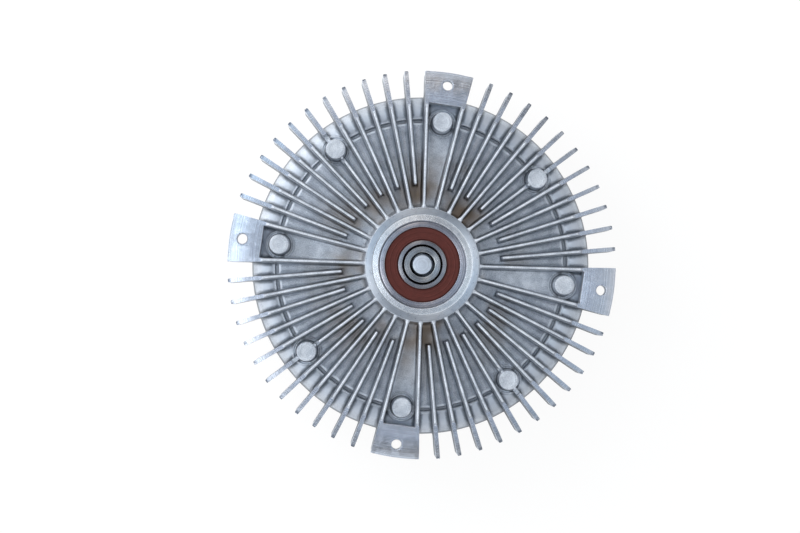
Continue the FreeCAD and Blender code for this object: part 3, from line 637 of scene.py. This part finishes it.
def cast(name, marked=True):
    """A casting's skin with painted shade beside the fins, and if marked, with the rear housing's other
    painted shade and highlights and darker post tops.
    """
    made, shader, spot = material(name)
    x, y, z, radius = axes(spot)
    grain = noise(spot, 0.55, 4.0, 0.65)
    patches = noise(spot, 6.0, 3.0)
    clouds = noise(spot, 26.0, 2.0)
    tone = (grain * 0.55 + patches * 0.45).ramp(0.3, 0.7)
    skin = tone.tinted(colour(166, 173, 183), colour(240, 244, 250))
    stain = radius.fade(36, 74) * clouds.ramp(0.42, 0.68) * z.fade(40, 48) * 0.85
    skin = stain.tinted(skin, colour(150, 127, 102))
    turn = turn_of(x, y)
    by_long = from_nearest(turn, radius, 28, 0.5)
    by_short = from_nearest(turn, radius, 28, 0)
    by_ear = from_nearest(turn, radius, 4, 0)
    no_short = 1 - radius.ramp(42.6, 43.4) * by_ear.ramp(3.0, 3.4)
    beside = spot.math("MINIMUM", by_long, by_short + no_short * 9)
    # Painted shade: the skin is darkened near each fin's foot, where shade falls between the fins.
    shade_width = 0.7 + radius.ramp(76, 84) * 1.6
    painted_shade_and_tone = (beside - 1.1).fade(0.0, shade_width) * z.fade(34.3, 38)
    painted_shade_and_tone = painted_shade_and_tone * (0.3 + patches * 0.35 + radius.ramp(79, 82) * 0.12)
    if marked:
        # Painted shade in the groove's hollow.
        groove_shade = radius.ramp(77.6, 78.3) * radius.fade(79.8, 80.7) * z.fade(31.2, 33.3)
        groove_shade = groove_shade * (0.1 + patches * 0.45)
        # Painted shade on the rim's outer edge, low down.
        rim_edge_shade = radius.ramp(91.2, 92.5) * radius.fade(92.7, 93.2) * z.fade(31, 32) * 0.75
        around = (spot.math("FRACT", turn * 8 + 8.5) - 0.5) * (2 * math.pi / 8)
        along = radius * spot.math("COSINE", around) - post_circle
        across = radius * spot.math("SINE", around)
        by_post = (along * along + across * across) ** 0.5
        # Painted shade in a ring round each post's foot.
        post_foot_shade = by_post.ramp(5.3, 5.5) * by_post.fade(6.1, 6.5) * z.fade(35, 38) * 0.75
        # The posts' tops are given a darker mottled tone.
        top = by_post.fade(4.9, 5.3) * z.ramp(44, 45) * (0.03 + patches * 0.25)
        # Painted shade dims the fins' crests and their upper sides, so that their highlight stays narrow.
        crest = z.ramp(47.5, 48.6) * 0.12
        crest = crest + z.ramp(45.9, 46.9) * beside.ramp(0.3, 0.75) * radius.ramp(31, 33) * 0.42
        for mask in (groove_shade, rim_edge_shade, post_foot_shade, top, crest):
            painted_shade_and_tone = spot.math("MAXIMUM", painted_shade_and_tone, mask)
        # Painted highlights: pale lines along the groove's edges and beside the fins' feet.
        groove_edge_highlight = radius.ramp(76.4, 77.0) * radius.fade(77.6, 78.0)
        groove_edge_highlight = groove_edge_highlight + radius.ramp(80.4, 80.8) * radius.fade(81.2, 82.2)
        groove_edge_highlight = groove_edge_highlight * beside.ramp(1.2, 1.9) * z.fade(34, 35) * (0.6 + patches * 0.6)
        fin_foot_highlight = beside.ramp(1.75, 2.0) * beside.fade(2.25, 2.6)
        fin_foot_highlight = fin_foot_highlight * radius.ramp(40, 50) * radius.fade(76.4, 76.8)
        fin_foot_highlight = fin_foot_highlight * z.fade(34, 35.5) * (0.15 + patches * 0.6)
        # A painted highlight: a pale band on the shoulder between the fins, fading outwards.
        shoulder_highlight = radius.ramp(80.5, 82) * (1.1 - radius.ramp(84, 92) * 0.8) * beside.ramp(2.4, 3.8)
        shoulder_highlight = shoulder_highlight * z.fade(34, 35) * 0.95
        # The pale colour is painted highlight.
        skin = spot.math("MAXIMUM", groove_edge_highlight + fin_foot_highlight, shoulder_highlight).tinted(skin, colour(243, 248, 255))
    # The dark colour is painted shade, and it also darkens the posts' tops.
    skin = painted_shade_and_tone.tinted(skin, colour(62, 68, 76))
    put(shader, Base_Color=skin, Metallic=0.7, Roughness=0.32 + grain * 0.2 + patches * 0.08,
        Normal=bumped(grain * 0.7 + noise(spot, 1.6) * 0.3, 0.16))
    return made


def turned_metal(name, tint, rough, ring=0.02, brushed=0.8, wavy=0.0, worn_from=None, gap=None):
    """Metal with a lathe's rings. It may be wavy, worn outside a radius, and painted dark as shade in a
    gap between two radii.
    """
    made, shader, spot = material(name)
    x, y, z, radius = axes(spot)
    look = {"W": radius, "Scale": 1.6, "Detail": 5.0, "Roughness": 0.7}
    rings = spot.node("ShaderNodeTexNoise", {"noise_dimensions": "1D"}, look, "Fac")
    patches = noise(spot, 3.0, 4.0)
    dark = [c * 0.76 for c in tint[:3]] + [1]
    light = [min(1, c * 1.12) for c in tint[:3]] + [1]
    shade = (rings * 0.7 + patches * 0.3).ramp(0.3, 0.7).tinted(dark, light)
    height = rings * ring
    if wavy:
        height = height + noise(spot, 7.0, 2.0) * wavy
    if worn_from:
        by_ear = from_nearest(turn_of(x, y), radius, 4, 0)
        wear = radius.ramp(worn_from, worn_from + 2) * noise(spot, 1.2, 3.0).ramp(0.34, 0.56)
        wear = wear * by_ear.ramp(14, 15)
        shade = (wear * 0.8).tinted(shade, colour(84, 92, 106))
    if gap:
        # The gap is painted dark as shade.
        gap_shade = radius.ramp(gap[0], gap[0] + 0.2) * radius.fade(gap[1] - 0.2, gap[1])
        shade = (gap_shade * 0.93).tinted(shade, colour(24, 26, 30))
    put(shader, Base_Color=shade, Metallic=1.0, Roughness=(rough - 0.05) + patches * 0.12,
        Anisotropic=brushed, Anisotropic_Rotation=0.25, Normal=bumped(height, 1.0))
    return made


cast_skin = cast("cast_aluminium")
turned_land = turned_metal("turned_aluminium", colour(196, 202, 210), 0.28, brushed=0.95)
turned_tips = turned_metal("turned_tips", colour(206, 211, 221), 0.24, ring=0.03, brushed=0.35, wavy=0.15,
                           worn_from=102.6)
turned_mouth = turned_metal("turned_mouth", colour(240, 242, 245), 0.22, brushed=0.45)
casting.data.materials.clear()
for finish in (cast_skin, turned_land, turned_tips, turned_mouth):
    casting.data.materials.append(finish)
skin_slot = 0
land_slot = 1
tip_slot = 2
mouth_slot = 3
for face in casting.data.polygons:
    spot = face.center / mm
    r = math.hypot(spot.x, spot.y)
    face.material_index = skin_slot
    if r < bore_r + 0.5 and spot.z > 34:
        face.material_index = land_slot
    if 23 < r < 31 and spot.z > 48.6 and face.normal.z > 0.2:
        face.material_index = mouth_slot if r < 26.95 else land_slot
    if r > 85.6 and spot.z > 45.8 and face.normal.z > 0.5:
        face.material_index = tip_slot
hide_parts("rear_housing")
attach(casting, "housing")


# The bearing's outer ring is hardened steel, ground bright and pressed into the collar against a step.
# Its face sits just below the land, and a rebate at each end holds a rubber seal.
bearing_high = 48.2
rebate_r = 20.4
rebate_low = 36.1
rebate_high = 46.3
race_r = 19.3
outer_ring = lathe("bearing_outer", [
    (bore_r, seat_z, 1.0), (rebate_r, seat_z, 0.15), (rebate_r, rebate_low), (race_r, rebate_low),
    (race_r, rebate_high), (rebate_r, rebate_high), (rebate_r, bearing_high, 0.15),
    (bore_r, bearing_high, 1.0)], 180)
outer_ring.data.materials.append(turned_metal("ground_steel", colour(178, 178, 186), 0.22, ring=0.004))
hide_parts("bearing_outer_ring")
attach(outer_ring, "housing")

# The inner ring is the same ground steel. It is pressed on the shaft and turns with it. The thin gap
# between its chamfer and the shaft is painted dark as shade.
shaft_r = 10.0
step_r = 13.0
inner_race_r = 14.2
inner_ring = lathe("bearing_inner", [
    (shaft_r, seat_z, 1.0), (step_r, seat_z, 0.15), (step_r, 36.2), (inner_race_r, 36.2),
    (inner_race_r, 46.2), (step_r, 46.2), (step_r, bearing_high, 0.15), (11.0, bearing_high),
    (shaft_r, 47.2)], 120)
inner_ring.data.materials.append(turned_metal("race_steel", colour(160, 160, 164), 0.2, ring=0.004,
                                              gap=(9.0, 11.0)))
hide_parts("bearing_inner_ring")
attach(inner_ring, "shaft")

# A shield of brown moulded rubber is snapped into the outer ring and closes the bearing. It has a raised
# rim, fine moulded rings and a lip that runs on the inner ring.
raised_rim = [(rebate_r, rebate_high), (rebate_r, 47.3, 0.1), (20.0, 47.3, 0.1), (19.7, 47.7, 0.15)]
fine_rings = [(18.0, 47.55, 0.1), (17.75, 47.68, 0.1), (17.5, 47.68, 0.1), (17.25, 47.52, 0.1),
              (15.6, 47.52, 0.1), (15.4, 47.62, 0.1), (15.1, 47.62, 0.1), (14.4, 47.5, 0.1)]
lip = [(14.0, 47.7, 0.15), (13.75, 47.6, 0.1), (13.6, 47.1, 0.1), (13.1, 47.1), (13.1, rebate_high)]
shield = lathe("seal_rear", raised_rim + fine_rings + lip, 160)
brown_rubber, shader, spot = material("seal_rubber")
patches = noise(spot, 3.0)
put(shader, Base_Color=patches.tinted(colour(60, 27, 23), colour(80, 38, 33)), Specular_IOR_Level=0.2,
    Roughness=0.5 + patches * 0.15, Normal=bumped(noise(spot, 0.4), 0.03))
shield.data.materials.append(brown_rubber)
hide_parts("bearing_seal_rear")
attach(shield, "housing")

# The hollow drive shaft is turned from steel and pressed into the bearing up to its flange. Its faced
# end stands just proud of the rings, and a counterbore from the front takes the screw's head.
shaft_bore = 6.75
counterbore = 9.3
counterbore_end = 32.8
flange_r = 14.5
flange_z = 30.6
rotor_seat_r = 12.9
nose_r = 12.5
faced_end = [(shaft_bore, 48.6, 0.35), (9.5, 48.6), (shaft_r, 48.1), (shaft_r, seat_z)]
flange = [(flange_r, seat_z, 0.3), (flange_r, flange_z, 0.3)]
rotor_seat = [(rotor_seat_r, flange_z), (rotor_seat_r, 21.6), (11.5, 21.6), (11.5, 20.4)]
nose = [(nose_r, 20.4), (nose_r, 2.0, 0.5), (counterbore, 2.0, 0.2)]
ring_groove = [(counterbore, 3.0), (10.0, 3.0), (10.0, 4.2), (counterbore, 4.2)]
inside = [(counterbore, counterbore_end), (shaft_bore, counterbore_end)]
shaft = lathe("shaft", faced_end + flange + rotor_seat + nose + ring_groove + inside, 120)
# The shaft's chamfer beside the inner ring is painted dark as shade in the gap.
shaft.data.materials.append(turned_metal("shaft_steel", colour(168, 171, 174), 0.2, ring=0.01,
                                         gap=(9.55, 10.5)))
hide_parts("drive_shaft")
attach(shaft, "shaft")


# The captive screw is steel with a rolled thread, zinc plated. It slides in the shaft: its threaded end
# shows in the bore, and its socket head faces the front.
def prism(name, across_flats, low, high):
    """A hexagonal prism about Z."""
    made = piece(name)
    bpy.ops.mesh.primitive_cylinder_add(vertices=6, radius=across_flats / 2 / math.cos(math.pi / 6) * mm,
                                        depth=(high - low) * mm, location=(0, 0, (low + high) / 2 * mm))
    return finished(made)


thread_r = 6.0
thread_pitch = 1.75
thread_low = 27.0
thread_high = 45.2
thread_depth = 1.0
rows_per_turn = 6
row_count = int(rows_per_turn * (thread_high - thread_low) / thread_pitch)
thread_rows = [(thread_r, thread_high - i * thread_pitch / rows_per_turn) for i in range(row_count)]
screw_outline = [(0, 46.2), (5.0, 46.2, 0.15), (5.9, 45.4)] + thread_rows
screw_outline += [(thread_r, 26.0), (thread_r, 16.2), (9.0, 16.2, 0.2), (9.0, 4.2, 0.9), (0, 4.2)]
screw = lathe("centre_screw_turned", screw_outline, 72, closed=False)
for point in screw.data.vertices:
    x, y, z = point.co / mm
    radius = math.hypot(x, y)
    if radius > 5.85 and 26.5 < z < 45.6:
        turned_share = math.atan2(y, x) / (2 * math.pi)
        phase = (z / thread_pitch - turned_share) % 1.0
        fade = min(1.0, (z - 26.5) / 3, (45.8 - z) / 0.8)
        narrowed = (radius - thread_depth * fade * abs(2 * phase - 1)) / radius
        point.co.x *= narrowed
        point.co.y *= narrowed
cut_away(screw, prism("key", across_flats=10.0, low=3.0, high=10.2))
mouth_outline = [(0, 3.6), (6.5, 3.6), (6.5, 4.0), (5.5, 5.0), (0, 5.0)]
cut_away(screw, lathe("key_mouth", mouth_outline, 48, closed=False))
zinc = turned_metal("zinc_steel", colour(226, 232, 240), 0.3, ring=0.01, brushed=0.0, wavy=0.1)
screw.data.materials.append(zinc)
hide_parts("centre_screw")
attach(screw, "screw")


# A washer turned from steel lies loose under the screw's head, and slides with it in the counterbore.
# It is zinc plated, as the screw is.
def dressed(name, look):
    """Gives a solid of the frame its finish."""
    for place in nodes[name].material_slots:
        place.material = look


dressed("screw_washer", zinc)

# Two split rings of spring steel, phosphated dark grey, are sprung into grooves. One keeps the screw in
# the shaft's nose, and the other holds the rotor on the shaft.
phosphate, shader, spot = material("spring_steel")
mottle = noise(spot, 0.5, 4.0)
put(shader, Base_Color=mottle.tinted(colour(62, 63, 66), colour(104, 106, 110)), Metallic=0.9,
    Roughness=0.4 + mottle * 0.2, Normal=bumped(mottle, 0.02))
dressed("screw_retaining_ring", phosphate)
dressed("rotor_snap_ring", phosphate)

# The front cover is the second aluminium die casting. It is finned like the housing and screwed to it,
# and its skin is the same, with shade painted dark beside the fins.
dressed("front_cover", cast("cover_skin", marked=False))

# Eight zinc plated socket screws hold the castings together. They come from the front, sit in spot faces
# between the cover's fins and end in the housing's posts.
shank_r = 2.5
head_r = 4.6
shank = [(0, 33.7), (1.9, 33.7), (shank_r, 33.1), (shank_r, 9.0)]
head = [(head_r, 9.0, 0.1), (head_r, 5.8, 0.6), (0, 5.8)]
cover_screw = lathe("cover_screw", shank + head, 40, closed=False)
cut_away(cover_screw, prism("small_key", across_flats=4.0, low=5.0, high=7.7))
mouth_outline = [(0, 5.4), (2.6, 5.4), (2.6, 5.7), (2.1, 6.2), (0, 6.2)]
cut_away(cover_screw, lathe("small_mouth", mouth_outline, 32, closed=False))
cover_screw.data.materials.append(zinc)
cover_screw.data.transform(Matrix.Translation((post_circle * mm, 0, 0)))
cover_screws = joined("cover_screw_set", round_the_axis(cover_screw, range(0, 360, 45)))
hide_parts("cover_screws")
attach(cover_screws, "housing")

# Black moulded rubber closes the joints: the lip seal pressed in round the shaft's nose, the ring
# squeezed between the castings, and the small ring round the control pin.
black_rubber, shader, spot = material("black_rubber")
bloom = noise(spot, 1.5, 4.0)
put(shader, Base_Color=bloom.tinted(colour(24, 24, 26), colour(44, 44, 47)), Roughness=0.5 + bloom * 0.2,
    Normal=bumped(noise(spot, 0.3), 0.02))
dressed("front_shaft_seal", black_rubber)
dressed("cover_oring", black_rubber)
dressed("pin_oring", black_rubber)

# The bearing's other shield is the same brown rubber, snapped in from the front. Between the rings run
# eight ground steel balls, kept apart by a cage moulded in pale plastic.
dressed("bearing_seal_front", brown_rubber)
polished, shader, spot = material("ball_steel")
haze = noise(spot, 1.2)
put(shader, Base_Color=haze.tinted(colour(188, 190, 194), colour(214, 216, 220)), Metallic=1.0,
    Roughness=0.08 + haze * 0.08)
dressed("bearing_balls", polished)
moulded, shader, spot = material("cage_plastic")
streaks = noise(spot, 2.0, 4.0)
put(shader, Base_Color=streaks.tinted(colour(150, 132, 96), colour(176, 160, 124)),
    Roughness=0.45 + streaks * 0.15, Normal=bumped(noise(spot, 0.4), 0.02))
dressed("bearing_cage", moulded)

# The rotor is an aluminium disc with ridges turned on its faces. It sits on the shaft between the flange
# and the snap ring, and drags the oil round with it.
dressed("rotor", turned_metal("rotor_aluminium", colour(190, 194, 200), 0.3, ring=0.03))


# The sheet parts inside are rolled steel: the bright partition plate between rotor and cover, and in
# darker spring steel the valve's leaf with its rivet. The wound spring round the seal's lip is dark too.
def rolled(name, dark, light, rough):
    """Rolled metal, whose fine streaks run along X."""
    made, shader, spot = material(name)
    look = {"W": axes(spot)[1], "Scale": 6.0, "Detail": 4.0}
    streaks = spot.node("ShaderNodeTexNoise", {"noise_dimensions": "1D"}, look, "Fac")
    patches = noise(spot, 3.0, 3.0)
    tone = (streaks * 0.6 + patches * 0.4).ramp(0.3, 0.7)
    put(shader, Base_Color=tone.tinted(dark, light), Metallic=1.0, Roughness=rough + patches * 0.15,
        Normal=bumped(streaks, 0.01))
    return made


dressed("partition_plate", rolled("plate_steel", colour(150, 152, 156), colour(186, 188, 192), 0.25))
leaf_steel = rolled("leaf_steel", colour(84, 84, 92), colour(120, 120, 128), 0.25)
dressed("valve_lever", leaf_steel)
dressed("valve_rivet", leaf_steel)
dressed("seal_garter_spring", leaf_steel)

# The bimetal strip is rolled from two metals. It lies across the cover's fins in two cast lugs and bows
# with heat, and pushes the pin of ground steel that opens the valve.
dressed("bimetal_strip", rolled("bimetal_brass", colour(176, 166, 140), colour(206, 198, 176), 0.22))
dressed("control_pin", polished)
